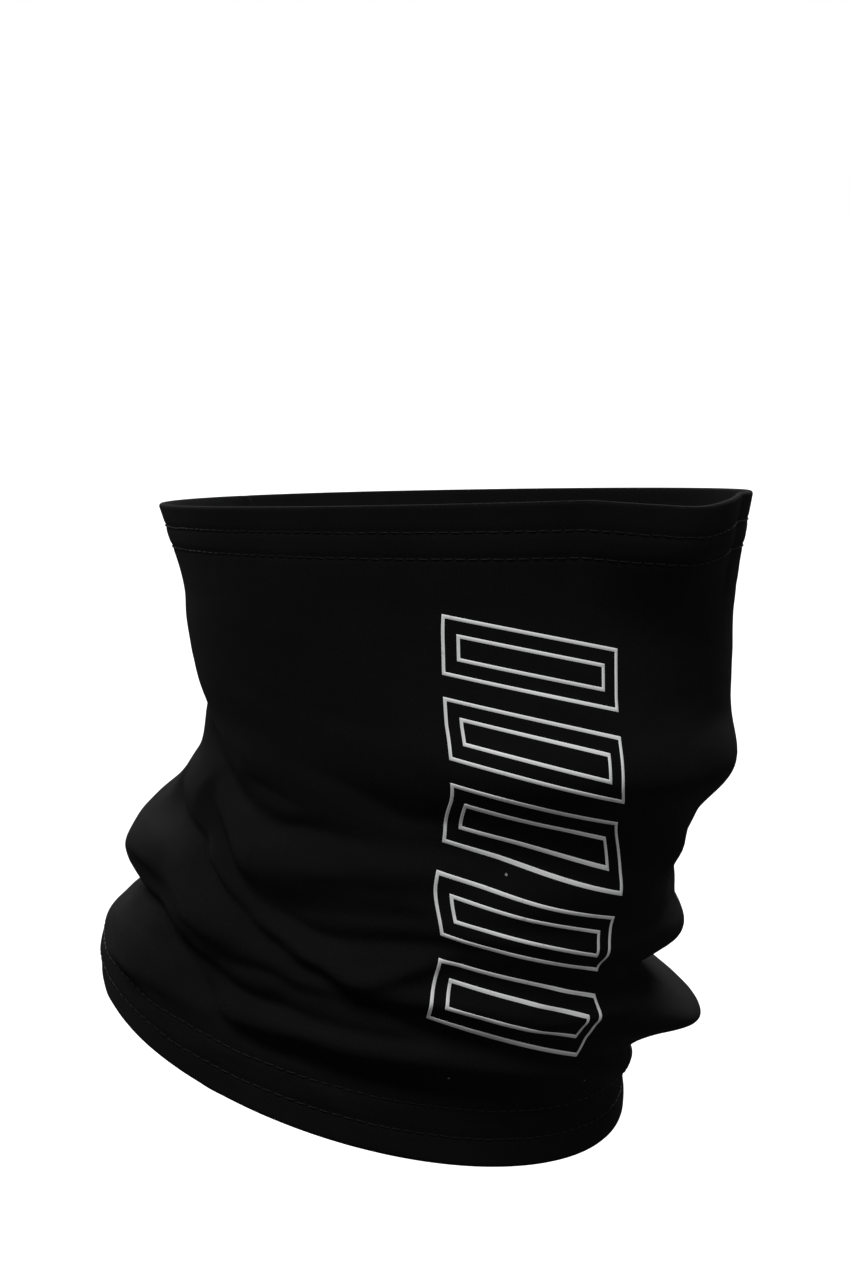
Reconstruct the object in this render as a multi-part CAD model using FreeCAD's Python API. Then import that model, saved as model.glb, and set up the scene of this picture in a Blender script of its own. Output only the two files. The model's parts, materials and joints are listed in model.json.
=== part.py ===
"""Neck gaiter: a tube of black knit worn over the nose and gathered in rolls round the neck.

Frame, in millimetres: +Z is up, -Y is the way the wearer faces, -X is the wearer's right side.
The origin is on the head's axis, level with the lowest point of the bottom edge.

The cloth is one smooth closed sheet.  A place on it is given by two numbers: an angle round the
neck, in degrees, from 0 at the nose through 90 at the wearer's right to 180 at the back seam, and
a height above the bottom edge, measured up the middle of the tube.
"""
import FreeCAD, Part
import math
import os

os.makedirs("parts", exist_ok=True)

# Driving dimensions ------------------------------------------------------------------------

PLY = 1.0                    # one thickness of the knit
HEM_DEPTH = 15.0             # cloth turned in at each end of the tube
JOIN_GAP = 0.4               # clearance between neighbouring pieces of cloth
BOTTOM_EDGE_LEVEL = 27.0     # level of the bottom edge's centre above the origin

THREAD_RADIUS = 0.2
STITCH_PITCH = 3.8
STITCH_LENGTH = 2.7          # part of each stitch that lies on the surface
THREAD_CLEARANCE = 0.2       # between a thread and the cloth that it lies on
NEEDLE_ROWS = (7.0, 14.2)    # the two needle lines, measured in from the folded edge

SEAM_ALLOWANCE = 7.0         # width of the raw edges inside the back seam
OVERLOCK_PITCH = 3.0
OVERLOCK_START = 0.3         # share of a pitch from the hem to the first loop
OVERLOCK_RISE = 0.4          # share of a pitch that a loop climbs on its way to the seam
OVERLOCK_END = 1.0           # distance from the seam at which a loop ends

LABEL_ALONG_SEAM = 22.0
LABEL_PAGE = 30.0            # from the sewn edge to the fold
LABEL_THICKNESS = 0.6        # two plies of satin ribbon
LABEL_HEIGHT = 22.0          # height of the label's lower end on the cloth
LABEL_LEAN = 13.0            # degrees that the page stands in from the wall
LABEL_ROOT_DEPTH = 6.8       # depth of the sewn edge behind the cloth's outer face
LABEL_TACKS = 5              # short stitches that hold the sewn edge to the seam
LABEL_TACK_LENGTH = 2.0
LABEL_TACK_OFFSET = 0.7      # from the middle of the sewn edge towards the wall

PRINT_LINE = 1.15            # width of a printed line
PRINT_FILM = 0.15            # thickness of the transfer film
PRINT_CLEARANCE = 0.25       # the film's back stands this far off the cloth's mean surface
PRINT_WIDTH = 56.0
PRINT_SLANT = 9.0            # the end nearer the side is this much higher than the other
PRINT_BAR_COUNT = 5
PRINT_BAR_HEIGHT = 16.5
PRINT_BAR_PITCH = 22.5
PRINT_FIRST_BAR = 31.5       # height of the lowest bar's lower side
PRINT_INSET = 4.6            # from a bar's outer line to its inner line
PRINT_STEP = 3.0             # spacing of the points that a printed line follows

# The middle of the print: height above its lower end, and angle.
PRINT_MIDDLE = ((0, 15.5), (20, 17.8), (38, 20.8), (50, 22.8), (60, 28.0), (68, 32.0),
                (80, 31.2), (112, 30.0))

# Level sections through the tube, from the bottom edge to the top edge: height, distance of the
# centre behind the axis, rise per millimetre towards the back, half width, and the depth in front
# of and behind the centre.
SECTIONS = (
    (0.0, 40.2, 0.41, 84.0, 81.2, 80.0),
    (14.0, 37.0, 0.37, 84.0, 81.0, 81.0),
    (29.0, 28.0, 0.31, 84.0, 83.0, 83.0),
    (43.0, 23.0, 0.26, 81.5, 84.0, 84.0),
    (57.0, 19.0, 0.22, 80.0, 88.0, 88.0),
    (71.0, 12.0, 0.19, 77.0, 82.0, 81.0),
    (85.0, -0.5, 0.15, 76.0, 80.0, 81.0),
    (99.0, -6.0, 0.11, 76.0, 94.5, 85.7),
    (113.0, -4.0, 0.07, 78.0, 93.5, 86.0),
    (129.0, -3.0, 0.04, 80.0, 93.0, 87.5),
    (145.0, -2.0, 0.01, 82.0, 94.3, 87.0),
    (161.0, -1.0, -0.02, 83.0, 100.6, 94.2),
    (171.5, 0.0, -0.04, 84.0, 105.3, 98.5),
)
TUBE_HEIGHT = SECTIONS[-1][0]

# Rolls and creases of the gathered cloth.  Each has a half width across the fold, and points
# along it: angle, level above the origin, and relief, outwards for a roll and inwards for a crease.
FOLDS = {
    "nose_ridge": (22.0, ((-24, 192, 0), (-9, 192, 7), (0, 192, 10), (9, 192, 7), (24, 192, 0))),
    "nape_crease": (6.0, ((58, 99, 0), (74, 104, -3), (90, 112, -4), (101, 126, -4),
                          (132, 139, -3), (180, 141, -3), (226, 138, -4), (262, 120, -4),
                          (290, 102, 0))),
    "shoulder_crease": (6.0, ((108, 116, 0), (94, 106, -3), (88, 92, -4), (78, 80, -4),
                              (68, 73, -4), (54, 71, -4), (40, 72, -4), (0, 80, -2),
                              (-40, 84, -2), (-60, 86, 0))),
    "throat_bridge": (13.0, ((-34, 88, 0), (-10, 84, 8), (10, 83, 10), (34, 80, 6), (62, 78, 0))),
    "upper_roll": (7.0, ((104, 98, 0), (90, 89, 2), (76, 78, 3), (66, 69, 4), (53, 64, 3),
                         (20, 64, 2), (-48, 66, 4), (-80, 76, 3), (-110, 92, 0))),
    "middle_crease": (5.5, ((118, 110, 0), (110, 107, -2), (90, 88, -4), (76, 75, -4),
                            (66, 65, -4), (53, 58, -3), (20, 55, -2), (-48, 53, -8),
                            (-80, 62, -6), (-112, 84, -3), (-130, 92, 0))),
    "neck_roll": (8.0, ((96, 80, 0), (76, 63, 4), (62, 55, 5), (50, 50, 5), (25, 45, 5),
                        (-14, 39, 10), (-48, 39, 15), (-76, 47, 11), (-100, 61, 6),
                        (-122, 74, 0))),
    "neck_roll_underside": (6.0, ((96, 64, 0), (74, 54, -3), (62, 49, -3), (50, 43, -3),
                                  (25, 36, -2), (-14, 28, -3), (-48, 28, -3), (-74, 36, -3),
                                  (-100, 50, -2), (-120, 56, 0))),
    "side_crease": (5.0, ((76, 44, 0), (82, 51, -3), (92, 65, -4), (107, 74, -5), (132, 77, -6),
                          (160, 80, -4), (196, 84, 0))),
    "side_roll": (9.0, ((84, 44, 0), (100, 54, 2), (126, 58, 2), (150, 62, 2), (180, 68, 0))),
    "nape_roll": (8.0, ((96, 84, 0), (118, 88, 3), (140, 88, 4), (180, 92, 0))),
    "left_back_crease": (6.0, ((186, 76, 0), (206, 84, -4), (232, 82, -5), (256, 70, -4),
                               (276, 52, 0))),
    "lower_roll": (6.0, ((80, 48, 0), (62, 42, 2), (50, 35, 3), (25, 28, 3), (-15, 21, 3),
                         (-48, 20, 2), (-74, 26, 2), (-96, 36, 0))),
    "hem_step": (4.5, ((74, 46, 0), (69, 41, -2), (49, 27, -2), (35, 22, -2), (18, 20, -2),
                       (-15, 12, -2), (-48, 12, -2), (-70, 17, 0))),
}

# Control net of the cloth surface: columns round the tube and rows up it.
BACK = 180                   # angle of the back seam, where every ring starts
COLUMNS = 44
ROWS = 32
DEGREE = 3


# The shape of the cloth --------------------------------------------------------------------

def smooth_value(points, place, column):
    """Value in one column of a table at a place between its first entries, on a smooth curve."""
    last = len(points) - 1
    step = 0
    while step < last - 1 and place > points[step + 1][0]:
        step += 1
    before, here = points[max(step - 1, 0)], points[step]
    there, after = points[step + 1], points[min(step + 2, last)]
    span = there[0] - here[0]
    share = (place - here[0]) / span
    slope_here = (there[column] - before[column]) / (there[0] - before[0]) * span
    slope_there = (after[column] - here[column]) / (after[0] - here[0]) * span
    return ((2 * share ** 3 - 3 * share ** 2 + 1) * here[column]
            + (share ** 3 - 2 * share ** 2 + share) * slope_here
            + (3 * share ** 2 - 2 * share ** 3) * there[column]
            + (share ** 3 - share ** 2) * slope_there)


def relief(angle, level):
    """Height of all rolls and creases together at an angle and a level."""
    total = 0.0
    for half_width, path in FOLDS.values():
        points = sorted(path)
        for turn in (-360, 0, 360):
            place = angle + turn
            if points[0][0] < place < points[-1][0]:
                across = (level - smooth_value(points, place, 1)) / half_width
                total += smooth_value(points, place, 2) * math.exp(-across * across)
    return total


def outward(angle, height):
    """Level direction that points straight out of the tube at a place on the cloth."""
    turn = math.radians(angle)
    width = smooth_value(SECTIONS, height, 3)
    depth = smooth_value(SECTIONS, height, 4 if math.cos(turn) > 0 else 5)
    return FreeCAD.Vector(-math.sin(turn) / width, -math.cos(turn) / depth, 0).normalize()


def cloth_point(angle, height, depth):
    """Point at a depth behind the cloth's outer face."""
    turn = math.radians(angle)
    centre, tilt, width, front, back = [
        smooth_value(SECTIONS, height, column) for column in range(1, 6)]
    reach = front if math.cos(turn) > 0 else back
    across = -width * math.sin(turn)
    along = -reach * math.cos(turn)
    level = BOTTOM_EDGE_LEVEL + height + tilt * along
    point = FreeCAD.Vector(across, centre + along, level)
    return point + outward(angle, height) * (relief(angle, level) - depth)


def row_height(row):
    """Height of a row of the control net: closer together at the two ends of the tube."""
    spans = ROWS - DEGREE
    knots = [min(max(row + step - DEGREE, 0), spans) for step in range(1, DEGREE + 1)]
    return TUBE_HEIGHT * sum(knots) / DEGREE / spans


def cloth_surface(depth):
    """Closed spline surface at a depth behind the cloth's outer face."""
    poles = []
    for column in range(COLUMNS):
        angle = 360.0 * (column - 1) / COLUMNS      # the net's second column is on the first knot
        poles.append([cloth_point(angle, row_height(row), depth) for row in range(ROWS)])
    spans = ROWS - DEGREE
    surface = Part.BSplineSurface()
    surface.buildFromPolesMultsKnots(
        poles, [1] * (COLUMNS + 1), [DEGREE + 1] + [1] * (spans - 1) + [DEGREE + 1],
        [360.0 * knot / COLUMNS for knot in range(COLUMNS + 1)],
        [TUBE_HEIGHT * knot / spans for knot in range(spans + 1)],
        True, False, DEGREE, DEGREE)
    return surface


# Solids from the cloth ---------------------------------------------------------------------

def solid_from(faces):
    """Solid enclosed by faces that meet along their edges."""
    shell = Part.makeShell(faces)
    shell.sewShape()
    solid = Part.Solid(Part.Shell(shell.Faces))
    if solid.Volume < 0:
        solid.reverse()
    if not (solid.isValid() and solid.isClosed()):
        raise ValueError("a solid didn't close")
    return solid


def cloth_solid(outer_depth, inner_depth, heights, angles=None):
    """Cloth between two depths and two heights: a full turn, or the part between two angles."""
    sides = [cloth_surface(depth) for depth in (outer_depth, inner_depth)]
    start, end = angles or (BACK, BACK + 360)
    faces = [side.toShape(start, end, *heights) for side in sides]
    for height in heights:
        rims = [side.vIso(height).toShape(start, end) for side in sides]
        faces.append(Part.makeRuledSurface(*rims))
    for angle in angles or ():
        ends = [side.uIso(angle).toShape(*heights) for side in sides]
        faces.append(Part.makeRuledSurface(*ends))
    return solid_from(faces)


def hem_levels(from_edge):
    """Heights at one distance in from the bottom edge and from the top edge."""
    return {"bottom_hem": from_edge, "top_hem": TUBE_HEIGHT - from_edge}


def make_cloth():
    """The knit panel between the hems, and the two hems of turned-in, doubled cloth."""
    ends = hem_levels(HEM_DEPTH)
    middle = (ends["bottom_hem"] + JOIN_GAP, ends["top_hem"] - JOIN_GAP)
    return {
        "tube_panel": cloth_solid(0, PLY, middle),
        "bottom_hem": cloth_solid(0, 2 * PLY, (0, ends["bottom_hem"])),
        "top_hem": cloth_solid(0, 2 * PLY, (ends["top_hem"], TUBE_HEIGHT)),
    }


# Thread ------------------------------------------------------------------------------------

def rod(start, end):
    """Short length of thread between two points."""
    return Part.makeCylinder(THREAD_RADIUS, (end - start).Length, start, end - start)


def evenly_round(surface, height, pitch):
    """Angles that divide a level of the cloth into equal lengths close to a pitch."""
    line = surface.vIso(height).toShape(BACK, BACK + 360)
    count = round(line.Length / pitch)
    return [line.getParameterByLength(line.Length * step / count) for step in range(count)]


def needle_row(height):
    """Ring of straight stitches lying on the cloth's outer face."""
    surface = cloth_surface(-THREAD_RADIUS - THREAD_CLEARANCE)
    share = STITCH_LENGTH / STITCH_PITCH
    stitches = []
    angles = evenly_round(surface, height, STITCH_PITCH)
    for angle, following in zip(angles, angles[1:] + [BACK + 360]):
        end = angle + (following - angle) * share
        stitches.append(rod(surface.value(angle, height), surface.value(end, height)))
    return Part.makeCompound(stitches)


def clear_of_cloth(surface, low, high):
    """Move into the tube that keeps a straight thread off cloth that bulges between its ends."""
    first, last = surface.value(*low), surface.value(*high)
    inward = outward(*low) * -1
    bulge = 0.0
    for share in (0.25, 0.5, 0.75):
        place = [start + (end - start) * share for start, end in zip(low, high)]
        bulge = max(bulge, (surface.value(*place) - first - (last - first) * share).dot(inward))
    return inward * bulge


def looper_row(first_height, second_height):
    """Ring of slanted threads on the inner ply, crossing from one needle line to the other."""
    surface = cloth_surface(2 * PLY + THREAD_RADIUS + THREAD_CLEARANCE)
    angles = evenly_round(surface, first_height, STITCH_PITCH)
    crossings = []
    for angle, following in zip(angles, angles[1:] + [BACK + 360]):
        low = (angle, first_height)
        high = ((angle + following) / 2, second_height)
        shift = clear_of_cloth(surface, low, high)
        crossings.append(rod(surface.value(*low) + shift, surface.value(*high) + shift))
    return Part.makeCompound(crossings)


def make_hem_threads():
    """Two needle threads on the outside of each hem and a looper thread on the inside."""
    threads = {}
    near, far = [hem_levels(distance) for distance in NEEDLE_ROWS]
    for hem in ("bottom_hem", "top_hem"):
        low, high = sorted((near[hem], far[hem]))
        threads[hem + "_needle_thread_lower"] = needle_row(low)
        threads[hem + "_needle_thread_upper"] = needle_row(high)
        threads[hem + "_looper_thread"] = looper_row(low, high)
    return threads


# Back seam and label -----------------------------------------------------------------------

def seam_angle(width):
    """Angle at a distance round the cloth from the back seam, towards the wearer's left."""
    return BACK + math.degrees(width / SECTIONS[0][3])


def make_back_seam():
    """The two raw edges, laid to one side inside the tube, and the thread that wraps them."""
    ends = hem_levels(HEM_DEPTH + JOIN_GAP)
    heights = (ends["bottom_hem"], ends["top_hem"])
    front = PLY + JOIN_GAP
    back = front + 2 * PLY
    edges = cloth_solid(front, back, heights, (seam_angle(0), seam_angle(SEAM_ALLOWANCE)))
    surface = cloth_surface(back + THREAD_RADIUS + THREAD_CLEARANCE)
    count = round((heights[1] - heights[0]) / OVERLOCK_PITCH)
    loops = []
    for step in range(count):
        height = heights[0] + OVERLOCK_PITCH * (step + OVERLOCK_START)
        loops.append(rod(surface.value(seam_angle(SEAM_ALLOWANCE), height),
                         surface.value(seam_angle(OVERLOCK_END),
                                       height + OVERLOCK_PITCH * OVERLOCK_RISE)))
    return {"back_seam_allowance": edges, "back_seam_overlock_thread": Part.makeCompound(loops)}


def label_frame():
    """Sewn edge of the label: its lower end, the way up the seam, and the way across the page."""
    surface = cloth_surface(LABEL_ROOT_DEPTH)
    low = surface.value(BACK, LABEL_HEIGHT)
    up = (surface.value(BACK, LABEL_HEIGHT + LABEL_ALONG_SEAM) - low).normalize()
    across = FreeCAD.Rotation(up, LABEL_LEAN).multVec(FreeCAD.Vector(-1, 0, 0))
    return low, up, across


def make_label():
    """Folded ribbon label, a flat page with a round fold at its free edge, and its tacks."""
    low, up, across = label_frame()
    outward_side = across.cross(up)
    half = LABEL_THICKNESS / 2

    def corner(from_seam, side):
        return low + across * from_seam + outward_side * side

    fold_start = LABEL_PAGE - half
    page_edges = [
        Part.LineSegment(corner(half, -half), corner(fold_start, -half)).toShape(),
        Part.Arc(corner(fold_start, -half), corner(LABEL_PAGE, 0), corner(fold_start, half)).toShape(),
        Part.LineSegment(corner(fold_start, half), corner(half, half)).toShape(),
        Part.LineSegment(corner(half, half), corner(half, -half)).toShape(),
    ]
    page = Part.Face(Part.Wire(page_edges)).extrude(up * LABEL_ALONG_SEAM)
    tacks = []
    for step in range(LABEL_TACKS):
        along = LABEL_ALONG_SEAM * (step + 0.5) / LABEL_TACKS - LABEL_TACK_LENGTH / 2
        start = low + up * along + FreeCAD.Vector(0, LABEL_TACK_OFFSET, 0)
        tacks.append(rod(start, start + up * LABEL_TACK_LENGTH))
    print("label hinge", [round(c / 1000, 6) for c in low], [round(c, 6) for c in up])
    return {"care_label": page, "care_label_tacks": Part.makeCompound(tacks)}


# Print -------------------------------------------------------------------------------------

def print_place(across, along):
    """Angle and height of a point of the print, measured from the middle of its lower edge."""
    height = PRINT_FIRST_BAR + along
    radius = (smooth_value(SECTIONS, height, 3) + smooth_value(SECTIONS, height, 4)) / 2
    middle = smooth_value(PRINT_MIDDLE, along, 1)
    return middle - math.degrees(across / radius), height


def bar_corners(base, inset):
    """Corners of one slanted bar, moved in by an inset from its outer line."""
    half = PRINT_WIDTH / 2 - inset
    low, high = base + inset, base + PRINT_BAR_HEIGHT - inset
    rise = PRINT_SLANT * half / PRINT_WIDTH
    return [(-half, low + rise), (half, low - rise), (half, high - rise), (-half, high + rise)]


def outline(base, inset):
    """Printed line of film that runs round a bar, as one closed ring lying on the cloth."""
    loops = [bar_corners(base, inset), bar_corners(base, inset + PRINT_LINE)]
    back = -PRINT_CLEARANCE
    surfaces = [cloth_surface(depth) for depth in (back, back - PRINT_FILM)]
    faces = []
    for side in range(4):
        lines = {}
        for loop, corners in enumerate(loops):
            start, end = corners[side], corners[(side + 1) % 4]
            pieces = max(2, round(math.dist(start, end) / PRINT_STEP))
            shares = [step / pieces for step in range(pieces + 1)]
            places = [print_place(*[a + (b - a) * share for a, b in zip(start, end)])
                      for share in shares]
            for layer, surface in enumerate(surfaces):
                curve = Part.BSplineCurve()
                curve.interpolate([surface.value(*place) for place in places])
                lines[loop, layer] = curve.toShape()
        for first, second in (((0, 0), (1, 0)), ((1, 0), (1, 1)), ((1, 1), (0, 1)), ((0, 1), (0, 0))):
            faces.append(Part.makeRuledSurface(lines[first], lines[second]))
    return solid_from(faces)


def make_print():
    """Column of slanted bars, each drawn as an outer and an inner line."""
    bars = {}
    for bar in range(PRINT_BAR_COUNT):
        base = bar * PRINT_BAR_PITCH
        bars["print_bar_" + str(bar + 1)] = Part.makeCompound(
            [outline(base, 0), outline(base, PRINT_INSET)])
    return bars


def main():
    """Build every piece and write it as its own file."""
    pieces = {}
    for make in (make_cloth, make_hem_threads, make_back_seam, make_label, make_print):
        pieces.update(make())
    for name, shape in pieces.items():
        if not shape.isValid():
            raise ValueError(name + " isn't a valid solid")
        shape.exportStep("parts/" + name + ".step")
        print(name, len(shape.Solids), round(shape.Volume, 1))


main()
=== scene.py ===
import json
import math

import bpy
import numpy as np
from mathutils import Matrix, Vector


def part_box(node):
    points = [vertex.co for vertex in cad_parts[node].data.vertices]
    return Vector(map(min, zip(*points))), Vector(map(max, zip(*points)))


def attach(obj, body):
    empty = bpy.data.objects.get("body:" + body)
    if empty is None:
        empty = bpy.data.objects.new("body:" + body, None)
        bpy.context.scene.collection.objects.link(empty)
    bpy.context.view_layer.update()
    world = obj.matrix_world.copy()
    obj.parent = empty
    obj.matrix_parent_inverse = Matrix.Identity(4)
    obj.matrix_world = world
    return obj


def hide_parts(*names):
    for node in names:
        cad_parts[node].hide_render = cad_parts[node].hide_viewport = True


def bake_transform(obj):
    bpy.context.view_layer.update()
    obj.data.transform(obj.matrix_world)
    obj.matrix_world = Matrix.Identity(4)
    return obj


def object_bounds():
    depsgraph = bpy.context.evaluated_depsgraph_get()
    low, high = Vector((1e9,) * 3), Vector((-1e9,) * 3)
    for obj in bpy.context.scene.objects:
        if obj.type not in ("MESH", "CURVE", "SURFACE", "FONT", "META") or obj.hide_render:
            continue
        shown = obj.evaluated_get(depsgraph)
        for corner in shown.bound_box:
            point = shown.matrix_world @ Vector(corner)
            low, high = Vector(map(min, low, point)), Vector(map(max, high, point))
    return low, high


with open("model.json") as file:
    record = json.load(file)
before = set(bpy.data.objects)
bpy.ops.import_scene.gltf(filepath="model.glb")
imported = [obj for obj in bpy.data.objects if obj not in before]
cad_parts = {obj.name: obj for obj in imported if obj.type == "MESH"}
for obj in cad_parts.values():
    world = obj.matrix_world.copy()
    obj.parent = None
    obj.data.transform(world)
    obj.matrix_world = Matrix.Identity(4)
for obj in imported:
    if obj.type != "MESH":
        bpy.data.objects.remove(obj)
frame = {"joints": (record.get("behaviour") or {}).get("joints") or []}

bl_info = {
    "name": "Neck gaiter",
    "version": (1, 0, 0),
    "blender": (4, 5, 0),
    "location": "View3D > Sidebar > Gaiter",
    "description": "Makes a knitted neck gaiter, worn over the nose and gathered round the neck",
    "category": "Add Mesh",
}

# The frame: +Z up, -Y the way the wearer faces, -X the wearer's right side, in metres.
# A place on the cloth is an angle in degrees, from 0 at the nose through 90 at the wearer's right
# to 180 at the back seam, and a height in millimetres above the bottom edge, measured up the
# middle of the tube.  Distances on the cloth are in millimetres until they reach a mesh.

MM = 0.001
CAD_BOX = [list(corner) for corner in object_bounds()]
BACK = 180.0

# Level sections through the tube, from the bottom edge to the top edge: height, distance of the
# centre behind the axis, rise per millimetre towards the back, half width, and the depth in front
# of and behind the centre.
BOTTOM_EDGE_LEVEL = 27.0
SECTIONS = np.array((
    (0.0, 40.2, 0.41, 84.0, 81.2, 80.0),
    (14.0, 37.0, 0.37, 84.0, 81.0, 81.0),
    (29.0, 28.0, 0.31, 84.0, 83.0, 83.0),
    (43.0, 23.0, 0.26, 81.5, 84.0, 84.0),
    (57.0, 19.0, 0.22, 80.0, 88.0, 88.0),
    (71.0, 12.0, 0.19, 77.0, 82.0, 81.0),
    (85.0, -0.5, 0.15, 76.0, 80.0, 81.0),
    (99.0, -6.0, 0.11, 76.0, 94.5, 85.7),
    (113.0, -4.0, 0.07, 78.0, 93.5, 86.0),
    (129.0, -3.0, 0.04, 80.0, 93.0, 87.5),
    (145.0, -2.0, 0.01, 82.0, 94.3, 87.0),
    (161.0, -1.0, -0.02, 83.0, 100.6, 94.2),
    (171.5, 0.0, -0.04, 84.0, 105.3, 98.5),
))
TUBE_HEIGHT = SECTIONS[-1][0]

# Rolls and creases of the gathered cloth.  Each has a half width across the fold, and points
# along it: angle, level, and how far it stands out or goes in.
ROLLS = {
    "nose_ridge": (22.0, ((-24, 192, 0), (-9, 192, 7), (0, 192, 10), (9, 192, 7), (24, 192, 0))),
    "throat_bridge": (13.0, ((-34, 88, 0), (-10, 84, 8), (10, 83, 10), (34, 80, 6), (62, 78, 0))),
    "cheek_bulge": (6.0, ((90, 92, 0), (75, 89, 2.5), (60, 89, 3), (44, 90, 2.5), (30, 90, 0))),
    "shoulder_ridge": (3.4, ((102, 95, 0), (94, 89, 2), (82, 78, 2.5), (70, 68, 3), (62, 62, 3.2),
                             (56, 58, 3.2), (51, 56, 3), (45, 57, 2.6), (40, 60, 2), (32, 64, 0))),
    "upper_roll": (7.0, ((44, 64, 0), (20, 64, 2), (-48, 66, 4), (-80, 76, 3), (-110, 92, 0))),
    "neck_roll": (8.0, ((106, 85, 0), (90, 72, 4), (76, 63, 4.5), (62, 55, 4), (50, 50, 3.5),
                        (25, 46, 3.5), (-1, 42, 4), (-22, 40, 11), (-48, 40, 15), (-76, 48, 11),
                        (-100, 62, 6), (-122, 74, 0))),
    "side_roll": (9.0, ((84, 44, 0), (100, 54, 2), (126, 58, 2), (150, 62, 2), (180, 68, 0))),
    "nape_roll": (8.0, ((100, 88, 0), (118, 90, 3), (140, 89, 4), (180, 92, 0))),
    "lower_roll": (5.0, ((82, 48, 0), (72, 43, 3), (62, 40, 3.5), (51, 35, 3.5), (40, 32, 3.5),
                         (24, 28, 3), (12, 25, 3), (-15, 20, 3), (-48, 20, 2), (-74, 26, 2),
                         (-96, 36, 0))),
}
CREASES = {
    "nape_crease": (4.2, ((56, 97, 0), (66, 99, 2), (75, 101, 3.5), (82, 101, 4.5), (92, 105, 5.5),
                          (100, 109, 6), (108, 114, 6), (116, 120, 5.5), (123, 127, 5),
                          (130, 136, 5), (150, 142, 4), (180, 143, 3.5), (226, 138, 4.5),
                          (262, 120, 3), (290, 102, 0))),
    "nape_fork": (3.0, ((102, 116, 0), (94, 113, 2), (84, 109, 2), (74, 106, 0))),
    "jaw_crease": (4.0, ((86, 122, 0), (75, 117, 1.3), (63, 111, 2), (54, 106, 2), (48, 105, 1.5),
                         (36, 104, 0))),
    "shoulder_crease": (3.8, ((114, 114, 0), (108, 106, 3.5), (99, 98, 5.5), (93, 92, 6.5),
                              (87, 85, 6.5), (81, 79, 6), (76, 75, 5.5), (70, 72, 4.5),
                              (63, 68, 3.5), (52, 66, 2), (40, 68, 0))),
    "cheek_hollow": (8.0, ((84, 80, 0), (72, 77, 2.5), (60, 75, 3.5), (48, 75, 3), (36, 77, 1.5),
                           (20, 80, 0))),
    "middle_crease": (3.8, ((132, 112, 0), (123, 104, 4), (111, 98, 6), (102, 93, 7), (96, 87, 7),
                            (88, 79, 6.5), (82, 74, 6), (76, 68, 5.5), (70, 64, 5), (64, 59, 5),
                            (58, 56, 4.5), (51, 49, 4), (40, 43, 3.5), (32, 38, 3.5), (18, 33, 3.5),
                            (8, 29, 3.5), (-9, 26, 4), (-26, 25, 4), (-48, 27, 4), (-74, 36, 4),
                            (-100, 50, 3), (-120, 56, 0))),
    "throat_crease": (4.5, ((2, 56, 0), (-9, 55, 1.5), (-22, 54, 5), (-48, 53, 9), (-80, 62, 7),
                            (-112, 84, 4), (-130, 92, 0))),
    "collar_crease": (3.2, ((88, 62, 0), (80, 59, 2.8), (70, 56, 3.6), (64, 52, 3.6), (58, 50, 3),
                            (50, 47, 1.5), (42, 45, 0))),
    "shelf_crease": (3.4, ((96, 63, 0), (87, 57, 3.5), (78, 51, 4.8), (72, 48, 5), (66, 46, 5),
                           (62, 44, 4.6), (56, 41, 4), (50, 39, 3.5), (42, 37, 2.5), (32, 35, 0))),
    "side_crease": (3.8, ((73, 38, 0), (78, 42, 3.5), (82, 47, 4.8), (87, 52, 5), (93, 59, 5.2),
                          (98, 63, 5.4), (108, 71, 5.6), (120, 74, 6), (135, 76, 6.5),
                          (160, 80, 4.5), (200, 84, 0))),
    "left_back_crease": (4.5, ((186, 76, 0), (206, 84, 4.5), (232, 82, 5.5), (256, 70, 4.5),
                               (276, 52, 0))),
    "hem_crease": (3.4, ((80, 42, 0), (70, 37, 3.2), (63, 32, 4), (57, 30, 4.2), (52, 28, 4.2),
                         (48, 26, 4.2), (39, 23, 4), (30, 20, 3.8), (18, 18.5, 3.4), (6, 17, 2.8),
                         (-21, 14, 2.2), (-48, 15, 1.6), (-70, 19, 0))),
}
CREASE_SHARPNESS = 1.35      # power of the distance across a crease: 2 is round, 1 is a sharp fold

# The middle of the print: height above its lower end, and angle.
PRINT_MIDDLE = np.array(((0, 15.5), (20, 17.8), (38, 20.8), (50, 22.8), (60, 28.0), (68, 32.0),
                         (80, 31.2), (112, 30.0)))


# Sizes and colours that a user would change ------------------------------------------------

def length_setting(name, description, default):
    """Property that holds a length."""
    return bpy.props.FloatProperty(name=name, description=description, default=default,
                                   unit="LENGTH", precision=5)


def turn_setting(name, description, default):
    """Property that holds an angle."""
    return bpy.props.FloatProperty(name=name, description=description, default=default,
                                   unit="ROTATION")


def share_setting(name, description, default):
    """Property that holds a share of something."""
    return bpy.props.FloatProperty(name=name, description=description, default=default,
                                   subtype="FACTOR")


def colour_setting(name, description, default):
    """Property that holds a colour."""
    return bpy.props.FloatVectorProperty(name=name, description=description, default=default,
                                         size=3, subtype="COLOR")


class ClothSettings(bpy.types.PropertyGroup):
    """Knit, hems and folds."""
    ply: length_setting("Ply", "Thickness of one layer of the knit", 0.9 * MM)
    hem_depth: length_setting("Hem depth", "Cloth turned in at each end", 14.6 * MM)
    flat_width: length_setting("Round the panel", "Width of the panel, cut before sewing", 0.50)
    flat_length: length_setting("Up the panel", "Length of the panel, with both hems", 0.28)
    droop: share_setting("Droop", "How far a roll hangs, as a share of how far it stands out", 0.35)
    crumple: share_setting("Crumple", "Height of small wrinkles, as a share of the usual one", 1.0)
    seed: bpy.props.IntProperty(name="Seed", description="Order of the small wrinkles", default=11)
    colour: colour_setting("Colour", "Colour of the yarn", (0.0048, 0.0048, 0.0052))


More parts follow.
